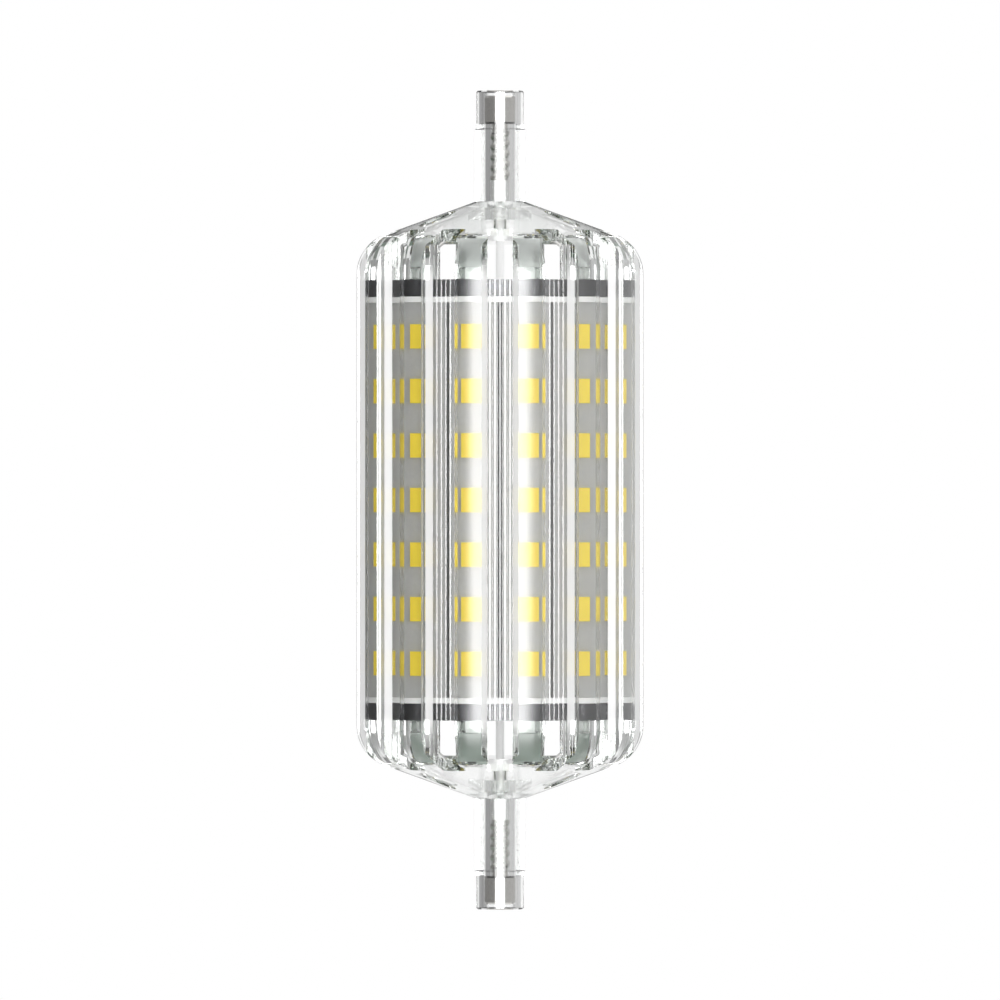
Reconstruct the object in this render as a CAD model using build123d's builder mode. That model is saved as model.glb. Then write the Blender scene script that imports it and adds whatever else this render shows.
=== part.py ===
"""Linear LED lamp with a clear channelled body, for two R7s lamp holders 118 mm apart.

The lamp's axis is Z and the origin is its middle. The front, -Y, looks into a channel of the body.
Every piece at the upper end has a mirror image at the lower end.
"""
import math
import os

from build123d import *

# Driving dimensions, in millimetres and degrees.

# Envelope
overall_length = 118.0
body_radius = 20.65
shoulder_radius = 6.0
cone_angle = 20.0
collar_length = 5.5
post_length = 10.5

# Channels of the clear body, one between each LED board and the next
channel_count = 14
body_wall = 3.05
channel_floor_wall = 0.7
channel_width = 5.3
channel_corner_bevel = 0.8
throat_width = 3.6
throat_depth = 2.53
rib_count = 5
rib_radius = 0.3
rib_sides = 4

# End caps
fit_clearance = 0.1
cap_plate_thickness = 1.7
cap_skirt_wall = 1.1
cap_hub_radius = 4.6
cap_hub_drop = 1.7
post_radius = 3.57
post_bore_radius = 1.45
vent_count = 3
vent_width = 1.8
vent_inner_radius = 7.4
vent_rim_width = 2.27

# Tip collars and contact screws
collar_radius = 3.4
collar_floor = 0.7
collar_recess_radius = 2.38
collar_edge_chamfer = 0.2
contact_recess = 0.75
contact_radius = 2.24
contact_edge_chamfer = 0.25
screw_neck_radius = 1.08
screw_neck_relief = 0.4
screw_shank_radius = 1.4
screw_shank_length = 7.0
screw_point_chamfer = 0.4

# End rings and insulating washers
end_ring_height = 2.45
end_ring_spigot_wall = 1.7
end_ring_spigot_length = 2.0
washer_thickness = 0.8

# LED core
core_end_distance = 30.7
core_wall = 1.4
board_thickness = 1.0
board_gap = 0.2
board_end_margin = 1.0
led_count = 7
led_height = 3.5
led_width = 2.8
led_thickness = 0.7
led_clearance = 0.2

# Driver inside the core
driver_board_thickness = 1.6
driver_groove_depth = 0.5
driver_end_clearance = 0.15
lead_wire_radius = 0.6
seat_clearance = 0.1
capacitor_radius = 4.0
capacitor_length = 12.0
choke_radius = 4.0
choke_height = 7.0
choke_flange_height = 1.4
choke_winding_depth = 0.8
rectifier_length = 6.0
rectifier_width = 5.0
rectifier_height = 2.5
chip_length = 5.0
chip_width = 4.0
chip_height = 1.6
fuse_radius = 1.5
fuse_length = 9.0
fuse_waist_depth = 0.35
fuse_cap_length = 2.0
part_spacing = 2.5

# Places worked out from the dimensions above.

tip_z = overall_length / 2
post_top_z = tip_z - collar_length
cone_top_z = post_top_z - post_length
cone_slope = math.tan(math.radians(cone_angle))
side_angle = 360 / channel_count
front_angle = -90.0

body_bore_radius = body_radius - body_wall
insert_radius = body_bore_radius - fit_clearance
throat_floor_radius = body_bore_radius - throat_depth
vent_outer_radius = throat_floor_radius - vent_rim_width

core_length = overall_length - 2 * core_end_distance
core_apothem = body_bore_radius - led_clearance - led_thickness - board_thickness
core_bore_radius = core_apothem - core_wall
led_pitch = (core_length - 2 * board_end_margin) / led_count

washer_bottom_z = core_length / 2
ring_bottom_z = washer_bottom_z + washer_thickness
ring_top_z = ring_bottom_z + end_ring_height

channel_floor_radius = body_bore_radius + channel_floor_wall
rib_pitch = throat_width / rib_count

contact_top_z = tip_z - contact_recess
collar_floor_z = post_top_z + collar_floor
screw_shank_top_z = post_top_z - screw_neck_relief
screw_end_z = screw_shank_top_z - screw_shank_length

facet_width = 2 * core_apothem * math.tan(math.radians(side_angle / 2))
board_width = facet_width - board_gap
spigot_radius = core_bore_radius - fit_clearance
end_ring_bore_radius = spigot_radius - end_ring_spigot_wall
spigot_bottom_z = washer_bottom_z - end_ring_spigot_length
wire_hole_radius = lead_wire_radius + fit_clearance
driver_groove_radius = core_bore_radius + driver_groove_depth
driver_board_width = 2 * (driver_groove_radius - fit_clearance)
driver_end_z = spigot_bottom_z - driver_end_clearance
driver_face_y = driver_board_thickness / 2


def cone_z(radius):
    """Height of the upper cone's outer face at a distance from the axis."""
    return cone_top_z - (radius - post_radius) * cone_slope


def facet_plane(index, height):
    """Plane on one side of the core, a height above that side, with local Y along the lamp."""
    angle = math.radians(front_angle + side_angle * (index + 0.5))
    outward = Vector(math.cos(angle), math.sin(angle), 0)
    along_side = Vector(-math.sin(angle), math.cos(angle), 0)
    return Plane(origin=outward * (core_apothem + height), x_dir=along_side, z_dir=outward)


def write(piece, name):
    """Name a finished piece and write it as a STEP file."""
    piece.label = name
    export_step(piece, f"parts/{name}.step")


def write_both_ends(upper, name):
    """Write an upper piece, and its mirror image at the lower end."""
    write(upper, f"upper_{name}")
    with BuildPart() as lower:
        mirror(upper, about=Plane.XY)
    write(lower.part, f"lower_{name}")


os.makedirs("parts", exist_ok=True)


# Clear body: a tube with rounded shoulders, open channels along its wall and a throat at each channel's ends

with BuildSketch() as channel_section:
    with Locations((channel_floor_radius, 0)):
        Rectangle(body_radius, channel_width, align=(Align.MIN, Align.CENTER))
    chamfer(channel_section.vertices().group_by(Axis.X)[0], channel_corner_bevel)
    with Locations((channel_floor_radius, 0)):
        with GridLocations(1, rib_pitch, 1, rib_count):
            RegularPolygon(rib_radius, rib_sides, mode=Mode.SUBTRACT)

with BuildSketch() as throat_section:
    with Locations((throat_floor_radius, 0)):
        Rectangle(
            channel_floor_radius + rib_radius - throat_floor_radius,
            throat_width,
            align=(Align.MIN, Align.CENTER),
        )

with BuildPart() as optical_body:
    with BuildSketch(Plane.XZ):
        with BuildLine():
            Polyline(
                (post_radius, -cone_top_z),
                (body_radius, -cone_z(body_radius)),
                (body_radius, cone_z(body_radius)),
                (post_radius, cone_top_z),
                close=True,
            )
        envelope = make_face()
        fillet(envelope.vertices().group_by(Axis.X)[-1], shoulder_radius)
    revolve(axis=Axis.Z)
    with BuildSketch(Plane.XY):
        Circle(body_bore_radius)
        with PolarLocations(0, channel_count, start_angle=front_angle):
            add(channel_section.sketch)
    extrude(amount=tip_z, both=True, mode=Mode.SUBTRACT)
    for end in (1, -1):
        with BuildSketch(Plane.XY.offset(end * ring_top_z)):
            with PolarLocations(0, channel_count, start_angle=front_angle):
                add(throat_section.sketch)
        extrude(amount=end * tip_z, mode=Mode.SUBTRACT)
write(optical_body.part, "optical_body")


# End cap: cone plate with a hub and a skirt inside, a bored post outside, vent slots and a throat for each channel

plate_inner_radius = insert_radius - cap_skirt_wall
with BuildPart() as end_cap:
    with BuildSketch(Plane.XZ):
        with BuildLine():
            Polyline(
                (post_bore_radius, post_top_z),
                (post_radius, post_top_z),
                (post_radius, cone_top_z),
                (insert_radius, cone_z(insert_radius)),
                (insert_radius, ring_top_z),
                (plate_inner_radius, ring_top_z),
                (plate_inner_radius, cone_z(plate_inner_radius) - cap_plate_thickness),
                (cap_hub_radius, cone_z(cap_hub_radius) - cap_plate_thickness),
                (cap_hub_radius, cone_z(cap_hub_radius) - cap_plate_thickness - cap_hub_drop),
                (post_bore_radius, cone_z(cap_hub_radius) - cap_plate_thickness - cap_hub_drop),
                close=True,
            )
        make_face()
    revolve(axis=Axis.Z)
    with BuildSketch(Plane.XY.offset(ring_top_z)):
        with PolarLocations(
            (vent_inner_radius + vent_outer_radius) / 2,
            vent_count,
            start_angle=front_angle + 180 / vent_count,
        ):
            SlotOverall(vent_outer_radius - vent_inner_radius, vent_width)
        with PolarLocations(0, channel_count, start_angle=front_angle):
            add(throat_section.sketch)
    extrude(amount=tip_z - ring_top_z, mode=Mode.SUBTRACT)
write_both_ends(end_cap.part, "end_cap")


# Tip collar: a cup clamped on the post by the contact screw

with BuildPart() as tip_collar:
    with BuildSketch(Plane.XY.offset(post_top_z)):
        Circle(collar_radius)
        Circle(post_bore_radius, mode=Mode.SUBTRACT)
    extrude(amount=collar_length)
    with BuildSketch(Plane.XY.offset(collar_floor_z)):
        Circle(collar_recess_radius)
    extrude(amount=collar_length, mode=Mode.SUBTRACT)
    rim = tip_collar.faces().sort_by(Axis.Z)[-1]
    chamfer(rim.outer_wire().edges(), collar_edge_chamfer)
write_both_ends(tip_collar.part, "tip_collar")


# Contact screw: plain round head, relieved neck and shank

with BuildPart() as contact_screw:
    with BuildSketch(Plane.XY.offset(screw_end_z)):
        Circle(screw_shank_radius)
    extrude(amount=screw_shank_length)
    chamfer(contact_screw.edges().sort_by(Axis.Z)[0], screw_point_chamfer)
    with BuildSketch(Plane.XY.offset(screw_shank_top_z)):
        Circle(screw_neck_radius)
    extrude(amount=collar_floor_z - screw_shank_top_z)
    with BuildSketch(Plane.XY.offset(collar_floor_z)):
        Circle(contact_radius)
    extrude(amount=contact_top_z - collar_floor_z)
    head_edges = contact_screw.edges().filter_by(GeomType.CIRCLE).group_by(SortBy.RADIUS)[-1]
    chamfer(head_edges, contact_edge_chamfer)
write_both_ends(contact_screw.part, "contact_screw")


# End ring: flange under the cap's skirt, closed round the lead wire, with a spigot that centres the core

with BuildPart() as end_ring:
    with BuildSketch(Plane.XZ):
        with BuildLine():
            Polyline(
                (wire_hole_radius, ring_bottom_z),
                (end_ring_bore_radius, ring_bottom_z),
                (end_ring_bore_radius, spigot_bottom_z),
                (spigot_radius, spigot_bottom_z),
                (spigot_radius, ring_bottom_z),
                (insert_radius, ring_bottom_z),
                (insert_radius, ring_top_z),
                (wire_hole_radius, ring_top_z),
                close=True,
            )
        make_face()
    revolve(axis=Axis.Z)
write_both_ends(end_ring.part, "end_ring")


# Insulating washer between the ring and the core

with BuildPart() as insulating_washer:
    with BuildSketch(Plane.XY.offset(washer_bottom_z)):
        Circle(insert_radius)
        Circle(core_bore_radius, mode=Mode.SUBTRACT)
    extrude(amount=washer_thickness)
write_both_ends(insulating_washer.part, "insulating_washer")


# Core: an extruded tube with a flat side for each LED board and two grooves for the driver board

with BuildPart() as core_tube:
    with BuildSketch(Plane.XY):
        RegularPolygon(core_apothem, channel_count, major_radius=False, rotation=front_angle)
        Circle(core_bore_radius, mode=Mode.SUBTRACT)
        Rectangle(
            2 * driver_groove_radius,
            driver_board_thickness + 2 * fit_clearance,
            mode=Mode.SUBTRACT,
        )
    extrude(amount=core_length / 2, both=True)
write(core_tube.part, "core_tube")


# LED boards and their LEDs, one of each on every side of the core

for side in range(channel_count):
    with BuildPart() as led_board:
        with BuildSketch(facet_plane(side, 0)):
            Rectangle(board_width, core_length)
        extrude(amount=board_thickness)
    write(led_board.part, f"led_board_{side + 1:02d}")

    with BuildPart() as led_row:
        with BuildSketch(facet_plane(side, board_thickness)):
            with GridLocations(1, led_pitch, 1, led_count):
                Rectangle(led_width, led_height)
        extrude(amount=led_thickness)
    write(led_row.part, f"led_row_{side + 1:02d}")


# Driver board in the core's grooves, with its parts in a line along it

with BuildPart() as driver_board:
    with BuildSketch(Plane.XY):
        Rectangle(driver_board_width, driver_board_thickness)
    extrude(amount=driver_end_z, both=True)
write(driver_board.part, "driver_board")

capacitor_z = part_spacing + choke_radius + capacitor_length / 2
with BuildPart() as smoothing_capacitor:
    with BuildSketch(Plane.XY.offset(capacitor_z - capacitor_length / 2)):
        with Locations((0, -driver_face_y - seat_clearance - capacitor_radius)):
            Circle(capacitor_radius)
    extrude(amount=capacitor_length)
write(smoothing_capacitor.part, "smoothing_capacitor")

choke_plane = Plane(origin=(0, -driver_face_y, 0), x_dir=(1, 0, 0), z_dir=(0, -1, 0))
with BuildPart() as choke:
    with BuildSketch(choke_plane):
        Circle(choke_radius)
    extrude(amount=choke_flange_height)
    with BuildSketch(choke_plane.offset(choke_flange_height)):
        Circle(choke_radius - choke_winding_depth)
    extrude(amount=choke_height - 2 * choke_flange_height)
    with BuildSketch(choke_plane.offset(choke_height - choke_flange_height)):
        Circle(choke_radius)
    extrude(amount=choke_flange_height)
write(choke.part, "choke")

rectifier_z = -choke_radius - part_spacing - rectifier_length / 2
with BuildPart() as rectifier:
    with BuildSketch(choke_plane):
        with Locations((0, rectifier_z)):
            Rectangle(rectifier_width, rectifier_length)
    extrude(amount=rectifier_height)
write(rectifier.part, "rectifier")

fuse_z = rectifier_z - rectifier_length / 2 - part_spacing
with BuildPart() as fuse_resistor:
    with BuildSketch(Plane.YZ):
        with Locations((-driver_face_y - seat_clearance - fuse_radius, fuse_z)):
            Circle(fuse_radius)
    extrude(amount=fuse_length / 2, both=True)
    with BuildSketch(Plane.YZ):
        with Locations((-driver_face_y - seat_clearance - fuse_radius, fuse_z)):
            Circle(fuse_radius)
            Circle(fuse_radius - fuse_waist_depth, mode=Mode.SUBTRACT)
    extrude(amount=fuse_length / 2 - fuse_cap_length, both=True, mode=Mode.SUBTRACT)
write(fuse_resistor.part, "fuse_resistor")

chip_plane = Plane(origin=(0, driver_face_y, 0), x_dir=(-1, 0, 0), z_dir=(0, 1, 0))
with BuildPart() as driver_chip:
    with BuildSketch(chip_plane):
        Rectangle(chip_width, chip_length)
    extrude(amount=chip_height)
write(driver_chip.part, "driver_chip")


# Lead wire: straight up the axis from the driver board to the contact screw

with BuildPart() as lead_wire:
    with BuildSketch(Plane.XY.offset(driver_end_z)):
        Circle(lead_wire_radius)
    extrude(amount=screw_end_z - driver_end_z)
write_both_ends(lead_wire.part, "lead_wire")
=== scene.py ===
"""Looks of a clear double-ended linear LED lamp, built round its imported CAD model."""
import math

import bmesh
import bpy
from bpy.props import FloatProperty, IntProperty, PointerProperty, StringProperty
from mathutils import Matrix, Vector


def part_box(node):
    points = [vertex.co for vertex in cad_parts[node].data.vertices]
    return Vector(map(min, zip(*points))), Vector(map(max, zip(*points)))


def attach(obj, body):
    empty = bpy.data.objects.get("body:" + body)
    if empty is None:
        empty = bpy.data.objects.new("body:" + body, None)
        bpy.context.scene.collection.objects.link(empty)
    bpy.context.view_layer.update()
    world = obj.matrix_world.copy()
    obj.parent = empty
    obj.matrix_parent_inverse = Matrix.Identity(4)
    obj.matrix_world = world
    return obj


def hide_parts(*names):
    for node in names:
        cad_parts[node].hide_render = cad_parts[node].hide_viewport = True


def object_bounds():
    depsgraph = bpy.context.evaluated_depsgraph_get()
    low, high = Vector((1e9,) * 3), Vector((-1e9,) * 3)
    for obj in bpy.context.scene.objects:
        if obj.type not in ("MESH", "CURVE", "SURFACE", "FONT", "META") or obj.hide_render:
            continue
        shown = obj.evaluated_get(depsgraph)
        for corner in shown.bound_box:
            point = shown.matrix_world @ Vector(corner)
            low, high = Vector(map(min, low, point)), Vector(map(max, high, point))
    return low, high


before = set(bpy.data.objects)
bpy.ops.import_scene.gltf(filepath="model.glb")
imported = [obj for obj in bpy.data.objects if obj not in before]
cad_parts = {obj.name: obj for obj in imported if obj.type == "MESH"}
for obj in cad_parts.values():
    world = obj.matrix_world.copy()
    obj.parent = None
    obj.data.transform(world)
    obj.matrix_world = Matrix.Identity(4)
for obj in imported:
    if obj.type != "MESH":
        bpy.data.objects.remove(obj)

bl_info = {
    "name": "Linear LED lamp looks",
    "version": (1, 0, 0),
    "blender": (4, 5, 0),
    "location": "3D View > Sidebar > LED lamp",
    "description": "Dresses the parts of a clear linear LED lamp and sets its studio",
    "category": "Object",
}

CAD_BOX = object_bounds()
MM = 0.001
ENDS = ("upper", "lower")
BOARDS = sorted(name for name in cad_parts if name.startswith("led_board_"))
LED_ROWS = sorted(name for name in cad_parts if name.startswith("led_row_"))
RING_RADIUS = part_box("upper_end_ring")[1].x
RING_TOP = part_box("upper_end_ring")[1].z
COLLAR_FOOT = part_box("upper_tip_collar")[0].z

# Limits by which points and faces are told apart.
NEAR = 0.001 * MM
ROUND_SLACK = 0.03 * MM
UPRIGHT = 0.1
BEVEL_SLOPE = (0.5, 0.9)
SHARP_ANGLE = math.radians(25)

# How far ribs and bevels reach out from a channel's floor, in rib heights.
RIB_REACH = 1.2
BEVEL_REACH = 4.0

# Material slots of the clear pieces, after the plain plastic in slot 0.
BOND = 1
PRISMS = 2
TAPPED = 2
SATIN = 3

# Optics of the clear plastic: its index, its absorption in a metre, and the length over which satin fades.
POLYCARBONATE_IOR = 1.585
TINT_DENSITY = 9.0
SATIN_FADE = 3 * MM

# Turning marks of the end rings, drawn coarser than real ones so that they show.
# A wave of scale 1 is pi/10 long.
TURNING_PITCH = 1.05 * MM
WAVE_LENGTH = math.pi / 10
RING_GLOSS = (0.29, 0.31)

# Colour sockets of a Mix node, which has other sockets of the same names.
MIX_COLOUR_A = 6
MIX_COLOUR_B = 7
MIX_COLOUR_OUT = 2

# The studio's light by direction: an axis, the span on it over which the light changes, and the two levels.
STUDIO = {
    # Through the plastic the room is grey, darker on the left, with a white wall behind and a white ceiling.
    "walls": ("across", (-0.9, 0.9), (0.3, 0.5)),
    "back": ("along", (0.92, 0.99), (0.0, 1.0)),
    "ceiling": ("lift", (0.35, 0.7), (0.0, 1.0)),
    # Outer faces mirror a bright wall on the right, and a dark one behind that draws the lamp's edges.
    "gleam": ("across", (-0.9, 0.9), (0.2, 1.6)),
    "edges": ("along", (0.9, 0.96), (1.0, 0.03)),
    # What is matt is lit from all sides, a little more from the right.
    "matt": ("across", (-0.9, 0.9), (0.8, 1.25)),
    # A wide, low softbox straight in front fades out at its ends.
    "wide": ("side", (0.3, 0.5), (12.0, 0.0)),
    "low": ("lift", (0.06, 0.12), (1.0, 0.0)),
    "front": ("along", (-0.6, -0.4), (1.0, 0.0)),
}
MATT_SHARE = 0.5
ALL_BOUNCES = 32
CLEAR_BOUNCES = 24
FLOOR_SIDES = 96


class LampColours(bpy.types.PropertyGroup):
    """Colours of the lamp's finishes, as sRGB hex values."""

    clear_tint: StringProperty(name="Clear plastic", description="Tint of thick plastic", default="#A6C4AF")
    haze: StringProperty(name="Haze", description="Scatter of satin and ribbed plastic", default="#F4F4F4")
    phosphor: StringProperty(name="Phosphor", description="Yellow face of the LEDs", default="#FFE33C")
    board_mask: StringProperty(name="Board", description="Pale lacquer of the LED boards", default="#BEBEBE")
    ring: StringProperty(name="End ring", description="Dark anodised rims of the rings", default="#58585A")
    ring_face: StringProperty(name="Ring face", description="Bare faces of the rings", default="#FAFAFA")
    white: StringProperty(name="Insulation", description="White washers and wires", default="#FAFAFA")
    contact: StringProperty(name="Contact", description="Nickel plating of the contacts", default="#D1CFCB")
    core: StringProperty(name="Core", description="Black anodised core", default="#1E1E20")
    laminate: StringProperty(name="Driver", description="Lacquer of the driver board", default="#1E5A32")
    epoxy: StringProperty(name="Epoxy", description="Moulded chips and the capacitor", default="#1C1C1E")
    fuse: StringProperty(name="Fuse", description="Lacquer of the fuse resistor", default="#6E9AA8")
    floor: StringProperty(name="Floor", description="Pale studio floor", default="#F4F4F4")


class LampSizes(bpy.types.PropertyGroup):
    """Sizes of what the script adds, and of the studio."""

    bond_gap: FloatProperty(
        name="Bond gap", description="From the end ring to the bore", default=0.1 * MM, unit="LENGTH"
    )
    floor_wall: FloatProperty(
        name="Floor wall", description="Wall under each channel", default=0.7 * MM, unit="LENGTH"
    )
    rib_height: FloatProperty(
        name="Rib height", description="Height of a channel's ribs", default=0.3 * MM, unit="LENGTH"
    )
    post_bore: FloatProperty(
        name="Post bore", description="Radius of the bore in each post", default=1.45 * MM, unit="LENGTH"
    )
    collar_floor: FloatProperty(
        name="Collar floor", description="Floor under a contact's head", default=0.7 * MM, unit="LENGTH"
    )
    head_edge: FloatProperty(
        name="Head edge", description="Bevel of a contact's head", default=0.25 * MM, unit="LENGTH"
    )
    neck_depth: FloatProperty(
        name="Neck depth", description="How deep a neck goes into its shank", default=0.5 * MM, unit="LENGTH"
    )
    thread_gap: FloatProperty(
        name="Thread gap", description="From the collar to the thread", default=0.4 * MM, unit="LENGTH"
    )
    thread_pitch: FloatProperty(
        name="Thread pitch", description="Pitch of the contact screws", default=1.5 * MM, unit="LENGTH"
    )
    thread_root: FloatProperty(
        name="Thread root", description="Root radius of the contact screws", default=1.1 * MM, unit="LENGTH"
    )
    thread_crest: FloatProperty(
        name="Thread crest", description="Crest radius of the contact screws", default=1.4 * MM, unit="LENGTH"
    )
    turn_steps: IntProperty(name="Turn steps", description="Steps in a turn of a lathed shape", default=48)
    view_width: FloatProperty(
        name="View width", description="Width of the picture at the axis", default=0.1442, unit="LENGTH"
    )
    camera_distance: FloatProperty(
        name="Camera distance", description="From the camera to the axis", default=2.0, unit="LENGTH"
    )
    floor_drop: FloatProperty(
        name="Floor drop", description="Height of the lower tip above the floor", default=0.04, unit="LENGTH"
    )
    floor_radius: FloatProperty(
        name="Floor radius", description="Radius of the round floor", default=0.45, unit="LENGTH"
    )


def linear(hex_colour):
    """Turn an sRGB hex value into Blender's linear colour, by the sRGB formula."""
    parts = [int(hex_colour[i:i + 2], 16) / 255 for i in (1, 3, 5)]
    return [p / 12.92 if p <= 0.04045 else ((p + 0.055) / 1.055) ** 2.4 for p in parts] + [1.0]


def add_node(tree, kind, settings=None, *sources, **links):
    """Add a node, set its attributes and sockets, and link its inputs in order or by name."""
    node = tree.nodes.new(kind)
    for key, value in (settings or {}).items():
        if isinstance(key, str) and hasattr(node, key):
            setattr(node, key, value)
        else:
            node.inputs[key].default_value = value
    for index, source in enumerate(sources):
        tree.links.new(source, node.inputs[index])
    for key, source in links.items():
        tree.links.new(source, node.inputs[key.replace("_", " ")])
    return node


def new_material(name):
    """Make an empty node material, and give it with its tree and output."""
    material = bpy.data.materials.new(name)
    material.use_nodes = True
    material.node_tree.nodes.clear()
    output = material.node_tree.nodes.new("ShaderNodeOutputMaterial")
    return material, material.node_tree, output


def dress(node_names, material):
    """Give CAD nodes one material."""
    for name in node_names:
        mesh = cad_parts[name].data
        mesh.materials.clear()
        mesh.materials.append(material)


def new_piece(shape, name, node, materials):
    """Turn a bmesh into a piece that stands for a CAD node."""
    mesh = bpy.data.meshes.new(name)
    shape.to_mesh(mesh)
    shape.free()
    for material in materials:
        mesh.materials.append(material)
    piece = bpy.data.objects.new(name, mesh)
    bpy.context.scene.collection.objects.link(piece)
    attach(piece, "root")
    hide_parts(node)
    return piece


def shade_by_angle(shape):
    """Shade a bmesh smoothly, except over its sharp edges."""
    for face in shape.faces:
        face.smooth = True
    for edge in shape.edges:
        edge.smooth = edge.calc_face_angle(math.pi) < SHARP_ANGLE


def joined_copy(node):
    """Copy a CAD node with its loose triangles joined, so that its curved faces bend light smoothly."""
    shape = bmesh.new()
    shape.from_mesh(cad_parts[node].data)
    bmesh.ops.remove_doubles(shape, verts=shape.verts, dist=NEAR)
    shade_by_angle(shape)
    return shape


def between(face, low, high):
    """Tell whether all corners of a face lie between two radii about the lamp's axis."""
    return all(low < vert.co.xy.length < high for vert in face.verts)


def mark_round(shape, radius, index):
    """Give the faces of one cylinder about the axis another material."""
    for face in shape.faces:
        if abs(face.normal.z) < UPRIGHT and between(face, radius - ROUND_SLACK, radius + ROUND_SLACK):
            face.material_index = index


def mark_floors(shape, low, high, index):
    """Give the ribbed floors of the channels another material, and round their ribs' shading."""
    for face in shape.faces:
        if face.material_index == 0 and abs(face.normal.z) < UPRIGHT and between(face, low, high):
            face.material_index = index
    for edge in shape.edges:
        if edge.link_faces and all(face.material_index == index for face in edge.link_faces):
            edge.smooth = True


def mark_bevels(shape, low, high, index):
    """Give the sloping strips between the floors and sides of the channels another material."""
    least, most = BEVEL_SLOPE
    for face in shape.faces:
        slope = face.normal.xy.dot(face.calc_center_median().xy.normalized())
        if face.material_index == 0 and least < slope < most and between(face, low, high):
            face.material_index = index


def lathed(outline, steps):
    """Turn an outline of radii and heights round the lamp's axis."""
    shape = bmesh.new()
    verts = [shape.verts.new((radius, 0, height)) for radius, height in outline]
    edges = [shape.edges.new(pair) for pair in zip(verts, verts[1:])]
    bmesh.ops.spin(shape, geom=verts + edges, axis=(0, 0, 1), cent=(0, 0, 0), angle=2 * math.pi,
                   steps=steps, use_merge=True)
    return shape


def rolled_thread(bottom, top, sizes):
    """Wind a thread's tooth up a shank, then cut the coil level at both ends and close it there."""
    shape = bmesh.new()
    root, crest, pitch = sizes.thread_root, sizes.thread_crest, sizes.thread_pitch
    turns = math.ceil((top - bottom) / pitch) + 2
    start, quarter = bottom - pitch, pitch / 4
    tooth = enumerate((root, root, crest, crest, root))
    verts = [shape.verts.new((radius, 0, start + step * quarter)) for step, radius in tooth]
    edges = [shape.edges.new(pair) for pair in zip(verts, verts[1:])]
    bmesh.ops.spin(shape, geom=verts + edges, axis=(0, 0, 1), cent=(0, 0, 0), angle=2 * math.pi * turns,
                   dvec=(0, 0, pitch / sizes.turn_steps), steps=sizes.turn_steps * turns)
    bmesh.ops.remove_doubles(shape, verts=shape.verts, dist=NEAR)
    for height, above in ((bottom, False), (top, True)):
        geometry = shape.verts[:] + shape.edges[:] + shape.faces[:]
        bmesh.ops.bisect_plane(shape, geom=geometry, plane_co=(0, 0, height), plane_no=(0, 0, 1),
                               dist=NEAR / 10, clear_outer=above, clear_inner=not above)
        open_edges = [edge for edge in shape.edges if edge.is_boundary]
        rim = [edge for edge in open_edges if all(abs(vert.co.z - height) < NEAR for vert in edge.verts)]
        bmesh.ops.holes_fill(shape, edges=rim, sides=0)
    return shape


def clear_polycarbonate(name, colours, roughness=0.0, haze=0.0, haze_end=1.0):
    """Clear moulded polycarbonate: it bends light, and looks green where it is thick.

    A share of haze veils it in white, as ribs and a satin finish do, and fades out above the height haze_end.
    """
    material, tree, output = new_material(name)
    clear = add_node(tree, "ShaderNodeBsdfPrincipled", {
        "Base Color": (1, 1, 1, 1), "Transmission Weight": 1.0,
        "IOR": POLYCARBONATE_IOR, "Roughness": roughness,
    })
    veil = add_node(tree, "ShaderNodeBsdfDiffuse", {"Color": linear(colours.haze)})
    place = add_node(tree, "ShaderNodeTexCoord")
    axes = add_node(tree, "ShaderNodeSeparateXYZ", {}, place.outputs["Object"])
    height = add_node(tree, "ShaderNodeMath", {"operation": "ABSOLUTE"}, axes.outputs["Z"])
    share = add_node(tree, "ShaderNodeMapRange", {
        "From Min": haze_end, "From Max": haze_end + SATIN_FADE, "To Min": haze, "To Max": 0.0,
    }, height.outputs[0])
    seen = add_node(tree, "ShaderNodeMixShader", {}, share.outputs[0], clear.outputs[0], veil.outputs[0])
    # Light shines through the plastic on to what is inside it.
    rays = add_node(tree, "ShaderNodeLightPath")
    passing = add_node(tree, "ShaderNodeBsdfTransparent")
    surface = add_node(tree, "ShaderNodeMixShader", {},
                       rays.outputs["Is Shadow Ray"], seen.outputs[0], passing.outputs[0])
    tint = add_node(tree, "ShaderNodeVolumeAbsorption", {
        "Color": linear(colours.clear_tint), "Density": TINT_DENSITY,
    })
    tree.links.new(surface.outputs[0], output.inputs["Surface"])
    tree.links.new(tint.outputs[0], output.inputs["Volume"])
    return material


def clear_bond():
    """Clear silicone that bonds boards and caps into the bore: of the plastic's index, so it isn't seen."""
    material, tree, output = new_material("clear_silicone_bond")
    passing = add_node(tree, "ShaderNodeBsdfTransparent")
    tree.links.new(passing.outputs[0], output.inputs["Surface"])
    return material


def grained(name, colour, roughness, grain_mm, spread=0.08, metallic=0.0):
    """A surface whose colour and gloss vary a little, by the share spread, over a grain of a real size."""
    material, tree, output = new_material(name)
    least, most = 1 - spread, 1 + spread
    place = add_node(tree, "ShaderNodeTexCoord")
    grain = add_node(tree, "ShaderNodeTexNoise", {"Scale": 1 / (grain_mm * MM), "Detail": 3.0},
                     Vector=place.outputs["Object"])
    shade = add_node(tree, "ShaderNodeMapRange", {"To Min": least, "To Max": most}, grain.outputs[0])
    tone = add_node(tree, "ShaderNodeMix", {
        "data_type": "RGBA", "blend_type": "MULTIPLY", "Factor": 1.0, MIX_COLOUR_A: linear(colour),
    })
    tree.links.new(shade.outputs[0], tone.inputs[MIX_COLOUR_B])
    gloss = add_node(tree, "ShaderNodeMapRange", {"To Min": roughness * least, "To Max": roughness * most},
                     grain.outputs[0])
    shader = add_node(tree, "ShaderNodeBsdfPrincipled", {"Metallic": metallic},
                      Base_Color=tone.outputs[MIX_COLOUR_OUT], Roughness=gloss.outputs[0])
    tree.links.new(shader.outputs[0], output.inputs["Surface"])
    return material


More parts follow.
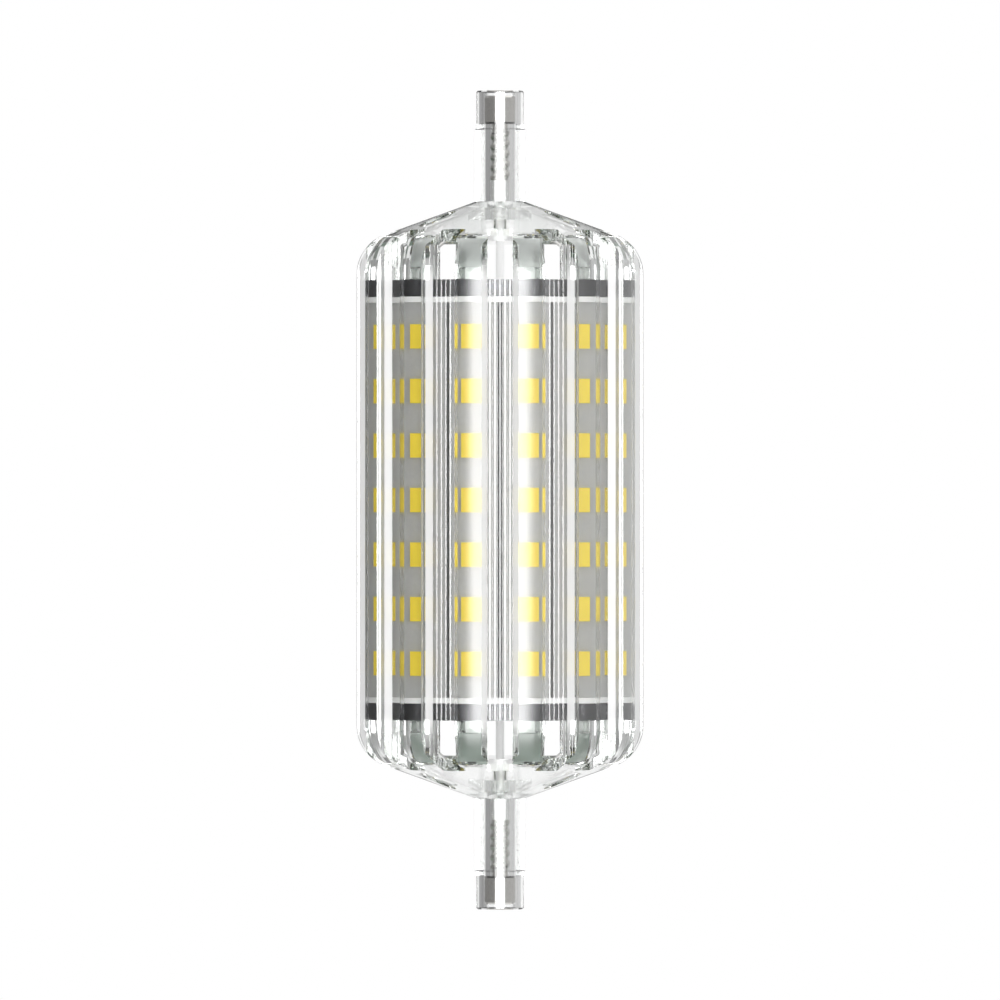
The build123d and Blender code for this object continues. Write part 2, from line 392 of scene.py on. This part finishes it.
def anodised_aluminium(colours):
    """Turned aluminium: a dark anodised rim round pale bare faces, with fine turning marks in the gloss."""
    material, tree, output = new_material("anodised_aluminium")
    place = add_node(tree, "ShaderNodeTexCoord")
    axes = add_node(tree, "ShaderNodeSeparateXYZ", {}, place.outputs["Normal"])
    upright = add_node(tree, "ShaderNodeMath", {"operation": "ABSOLUTE"}, axes.outputs["Z"])
    tone = add_node(tree, "ShaderNodeMix", {
        "data_type": "RGBA", MIX_COLOUR_A: linear(colours.ring), MIX_COLOUR_B: linear(colours.ring_face),
    }, upright.outputs[0])
    marks = add_node(tree, "ShaderNodeTexWave", {
        "wave_type": "RINGS", "rings_direction": "Z", "Scale": WAVE_LENGTH / TURNING_PITCH, "Distortion": 1.0,
    }, Vector=place.outputs["Object"])
    gloss = add_node(tree, "ShaderNodeMapRange", {"To Min": RING_GLOSS[0], "To Max": RING_GLOSS[1]},
                     marks.outputs["Fac"])
    shader = add_node(tree, "ShaderNodeBsdfPrincipled", {"Metallic": 1.0},
                      Base_Color=tone.outputs[MIX_COLOUR_OUT], Roughness=gloss.outputs[0])
    tree.links.new(shader.outputs[0], output.inputs["Surface"])
    return material


def studio_world(scene):
    """Light the lamp from a pale room with a softbox, and show plain white behind it."""
    world = bpy.data.worlds.new("studio")
    world.use_nodes = True
    scene.world = world
    tree = world.node_tree
    tree.nodes.clear()
    output = tree.nodes.new("ShaderNodeOutputWorld")
    place = add_node(tree, "ShaderNodeTexCoord")
    axes = add_node(tree, "ShaderNodeSeparateXYZ", {}, place.outputs["Generated"])
    side = add_node(tree, "ShaderNodeMath", {"operation": "ABSOLUTE"}, axes.outputs["X"])
    lift = add_node(tree, "ShaderNodeMath", {"operation": "ABSOLUTE"}, axes.outputs["Z"])
    ways = {
        "across": axes.outputs["X"], "along": axes.outputs["Y"],
        "side": side.outputs[0], "lift": lift.outputs[0],
    }
    light = {}
    for name, (way, span, levels) in STUDIO.items():
        fade = add_node(tree, "ShaderNodeMapRange", {
            "interpolation_type": "SMOOTHSTEP", "From Min": span[0], "From Max": span[1],
            "To Min": levels[0], "To Max": levels[1],
        }, ways[way])
        light[name] = fade.outputs[0]

    white = add_node(tree, "ShaderNodeMath", {"operation": "MAXIMUM"}, light["back"], light["ceiling"])
    room = add_node(tree, "ShaderNodeMix", {"data_type": "FLOAT", "B": 1.0},
                    Factor=white.outputs[0], A=light["walls"])
    mirrored = add_node(tree, "ShaderNodeMath", {"operation": "MULTIPLY"}, light["gleam"], light["edges"])
    strip = add_node(tree, "ShaderNodeMath", {"operation": "MULTIPLY"}, light["wide"], light["low"])
    softbox = add_node(tree, "ShaderNodeMath", {"operation": "MULTIPLY"}, strip.outputs[0], light["front"])

    # A ray that has left a matt surface gets the matt light, also where it then goes out through plastic.
    rays = add_node(tree, "ShaderNodeLightPath")
    through = rays.outputs["Is Transmission Ray"]
    shiny = add_node(tree, "ShaderNodeMath", {"operation": "MAXIMUM"}, rays.outputs["Is Glossy Ray"], through)
    sharp = add_node(tree, "ShaderNodeMath", {"operation": "SUBTRACT", "use_clamp": True},
                     shiny.outputs[0], rays.outputs["Diffuse Depth"])
    seen = add_node(tree, "ShaderNodeMix", {"data_type": "FLOAT"},
                    Factor=through, A=mirrored.outputs[0], B=room.outputs[0])
    around = add_node(tree, "ShaderNodeMix", {"data_type": "FLOAT"},
                      Factor=sharp.outputs[0], A=light["matt"], B=seen.outputs[0])
    # The softbox lights what is matt a little less than it shows in what is shiny.
    share = add_node(tree, "ShaderNodeMapRange", {"To Min": MATT_SHARE, "To Max": 1.0}, sharp.outputs[0])
    studio = add_node(tree, "ShaderNodeMath", {"operation": "MULTIPLY_ADD"},
                      softbox.outputs[0], share.outputs[0], around.outputs[0])
    level = add_node(tree, "ShaderNodeMix", {"data_type": "FLOAT", "B": 1.0},
                     Factor=rays.outputs["Is Camera Ray"], A=studio.outputs[0])
    background = add_node(tree, "ShaderNodeBackground", {"Color": (1, 1, 1, 1)}, Strength=level.outputs[0])
    tree.links.new(background.outputs[0], output.inputs["Surface"])


def studio_floor(scene):
    """Lay a round, pale floor below the lower tip."""
    sizes = scene.lamp_sizes
    shape = bmesh.new()
    bmesh.ops.create_circle(shape, cap_ends=True, segments=FLOOR_SIDES, radius=sizes.floor_radius)
    bmesh.ops.translate(shape, verts=shape.verts, vec=(0, 0, CAD_BOX[0][2] - sizes.floor_drop))
    mesh = bpy.data.meshes.new("floor")
    shape.to_mesh(mesh)
    shape.free()
    # Painted board: pale, matt and all but even.
    mesh.materials.append(grained("painted_board", scene.lamp_colours.floor, 0.7, grain_mm=4.0, spread=0.01))
    floor = bpy.data.objects.new("floor", mesh)
    scene.collection.objects.link(floor)


def studio_camera(scene):
    """Set the camera level, straight in front of the lamp."""
    sizes = scene.lamp_sizes
    lens = bpy.data.cameras.new("camera")
    lens.lens = lens.sensor_width * sizes.camera_distance / sizes.view_width
    camera = bpy.data.objects.new("camera", lens)
    scene.collection.objects.link(camera)
    camera.location = (0, -sizes.camera_distance, 0)
    camera.rotation_euler = (math.pi / 2, 0, 0)
    scene.camera = camera


class LAMP_OT_clear_parts(bpy.types.Operator):
    """Give the clear body, caps and collars smooth faces and their moulded plastic."""

    bl_idname = "lamp.clear_parts"
    bl_label = "Clear plastic parts"

    def execute(self, context):
        colours, sizes = context.scene.lamp_colours, context.scene.lamp_sizes
        plastic = clear_polycarbonate("clear_polycarbonate", colours)
        # A tapped bore blurs what is behind it, ribbed floors are faintly hazy, and satin bevels look white.
        tapped = clear_polycarbonate("tapped_polycarbonate", colours, roughness=0.1)
        prisms = clear_polycarbonate("prismatic_polycarbonate", colours, haze=0.03)
        satin = clear_polycarbonate("satin_polycarbonate", colours, haze=0.8, haze_end=RING_TOP)
        bond = clear_bond()

        body = joined_copy("optical_body")
        bore = RING_RADIUS + sizes.bond_gap
        floor, rib = bore + sizes.floor_wall, sizes.rib_height
        mark_round(body, bore, BOND)
        mark_floors(body, floor - rib, floor + RIB_REACH * rib, PRISMS)
        mark_bevels(body, floor - rib, floor + BEVEL_REACH * rib, SATIN)
        new_piece(body, "clear_body", "optical_body", [plastic, bond, prisms, satin])

        for end in ENDS:
            cap = joined_copy(f"{end}_end_cap")
            mark_round(cap, RING_RADIUS, BOND)
            mark_round(cap, sizes.post_bore, TAPPED)
            new_piece(cap, f"{end}_clear_cap", f"{end}_end_cap",
                      [plastic, bond, tapped])
            collar = joined_copy(f"{end}_tip_collar")
            new_piece(collar, f"{end}_clear_collar", f"{end}_tip_collar", [plastic])
        return {"FINISHED"}


class LAMP_OT_led_parts(bpy.types.Operator):
    """Dress the LED boards, LEDs and core."""

    bl_idname = "lamp.led_parts"
    bl_label = "LEDs, boards and core"

    def execute(self, context):
        colours = context.scene.lamp_colours
        # Board lacquer: pale grey, satin and faintly mottled.
        dress(BOARDS, grained("board_lacquer", colours.board_mask, 0.35, grain_mm=0.6))
        # LED phosphor: yellow powder set in silicone, even and softly glossy.
        dress(LED_ROWS, grained("led_phosphor", colours.phosphor, 0.4, grain_mm=0.3, spread=0.04))
        # Black anodised aluminium: dark, with a broad sheen.
        black = grained("black_anodised_aluminium", colours.core, 0.35, grain_mm=1.5, spread=0.06,
                        metallic=1.0)
        dress(["core_tube"], black)
        return {"FINISHED"}


class LAMP_OT_contacts(bpy.types.Operator):
    """Make the contact screws, with their heads, necks and rolled threads."""

    bl_idname = "lamp.contacts"
    bl_label = "Contact screws"

    def execute(self, context):
        colours, sizes = context.scene.lamp_colours, context.scene.lamp_sizes
        # Nickel plate: bright metal, smooth enough to mirror the softbox as a white stripe.
        plate = grained("nickel_plate", colours.contact, 0.12, grain_mm=0.4, spread=0.06, metallic=1.0)
        foot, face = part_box("upper_contact_screw")
        seat = COLLAR_FOOT + sizes.collar_floor
        shank_top = COLLAR_FOOT - sizes.thread_gap
        neck, neck_foot = sizes.thread_root, shank_top - sizes.neck_depth
        rim, edge = face.x, sizes.head_edge
        outline = [
            (0, neck_foot), (neck, neck_foot), (neck, seat), (rim - edge, seat), (rim, seat + edge),
            (rim, face.z - edge), (rim - edge, face.z), (0, face.z),
        ]
        for end in ENDS:
            screw = lathed(outline, sizes.turn_steps)
            coil = rolled_thread(foot.z, shank_top, sizes)
            thread = bpy.data.meshes.new("thread")
            coil.to_mesh(thread)
            coil.free()
            screw.from_mesh(thread)
            bpy.data.meshes.remove(thread)
            bmesh.ops.remove_doubles(screw, verts=screw.verts, dist=NEAR)
            if end == "lower":
                half_turn = Matrix.Rotation(math.pi, 3, "Y")
                bmesh.ops.rotate(screw, verts=screw.verts, cent=(0, 0, 0), matrix=half_turn)
            bmesh.ops.recalc_face_normals(screw, faces=screw.faces)
            shade_by_angle(screw)
            new_piece(screw, f"{end}_threaded_contact", f"{end}_contact_screw", [plate])
        return {"FINISHED"}


class LAMP_OT_ends(bpy.types.Operator):
    """Dress the end rings, washers and wires."""

    bl_idname = "lamp.ends"
    bl_label = "Rings, washers and wires"

    def execute(self, context):
        colours = context.scene.lamp_colours
        dress([f"{end}_end_ring" for end in ENDS], anodised_aluminium(colours))
        # White insulation: smooth moulded plastic, even and satin.
        white = grained("white_insulation", colours.white, 0.5, grain_mm=0.5, spread=0.02)
        dress([f"{end}_{part}" for end in ENDS for part in ("insulating_washer", "lead_wire")], white)
        return {"FINISHED"}


class LAMP_OT_driver(bpy.types.Operator):
    """Dress the driver board and its parts."""

    bl_idname = "lamp.driver"
    bl_label = "Driver"

    def execute(self, context):
        colours = context.scene.lamp_colours
        # Green laminate: glass cloth under lacquer, mottled and satin.
        dress(["driver_board"], grained("green_laminate", colours.laminate, 0.4, grain_mm=0.8))
        # Black epoxy: moulded, dull and slightly speckled.
        epoxy = grained("black_epoxy", colours.epoxy, 0.5, grain_mm=0.4)
        dress(["driver_chip", "rectifier", "smoothing_capacitor", "choke"], epoxy)
        # Fuse lacquer: a dipped blue-grey coat with a soft gloss.
        dress(["fuse_resistor"], grained("fuse_lacquer", colours.fuse, 0.3, grain_mm=0.6))
        return {"FINISHED"}


class LAMP_OT_stage(bpy.types.Operator):
    """Set the studio's light, floor and camera."""

    bl_idname = "lamp.stage"
    bl_label = "Studio and camera"

    def execute(self, context):
        scene = context.scene
        scene.view_settings.view_transform = "Standard"
        # Light crosses many faces of the clear body before it leaves.
        scene.cycles.max_bounces = ALL_BOUNCES
        scene.cycles.transparent_max_bounces = ALL_BOUNCES
        scene.cycles.glossy_bounces = CLEAR_BOUNCES
        scene.cycles.transmission_bounces = CLEAR_BOUNCES
        studio_world(scene)
        studio_floor(scene)
        studio_camera(scene)
        return {"FINISHED"}


class LAMP_PT_panel(bpy.types.Panel):
    """Lists the steps that dress the lamp."""

    bl_idname = "LAMP_PT_panel"
    bl_label = "LED lamp"
    bl_space_type = "VIEW_3D"
    bl_region_type = "UI"
    bl_category = "LED lamp"

    def draw(self, context):
        for step in STEPS:
            self.layout.operator(step.bl_idname)


STEPS = (
    LAMP_OT_clear_parts, LAMP_OT_led_parts, LAMP_OT_contacts, LAMP_OT_ends, LAMP_OT_driver, LAMP_OT_stage,
)
CLASSES = (LampColours, LampSizes, *STEPS, LAMP_PT_panel)


def register():
    for cls in CLASSES:
        bpy.utils.register_class(cls)
    bpy.types.Scene.lamp_colours = PointerProperty(type=LampColours)
    bpy.types.Scene.lamp_sizes = PointerProperty(type=LampSizes)


def unregister():
    del bpy.types.Scene.lamp_sizes
    del bpy.types.Scene.lamp_colours
    for cls in reversed(CLASSES):
        bpy.utils.unregister_class(cls)


def main():
    register()
    bpy.ops.lamp.clear_parts()
    bpy.ops.lamp.led_parts()
    bpy.ops.lamp.contacts()
    bpy.ops.lamp.ends()
    bpy.ops.lamp.driver()
    bpy.ops.lamp.stage()


if __name__ == "__main__":
    main()
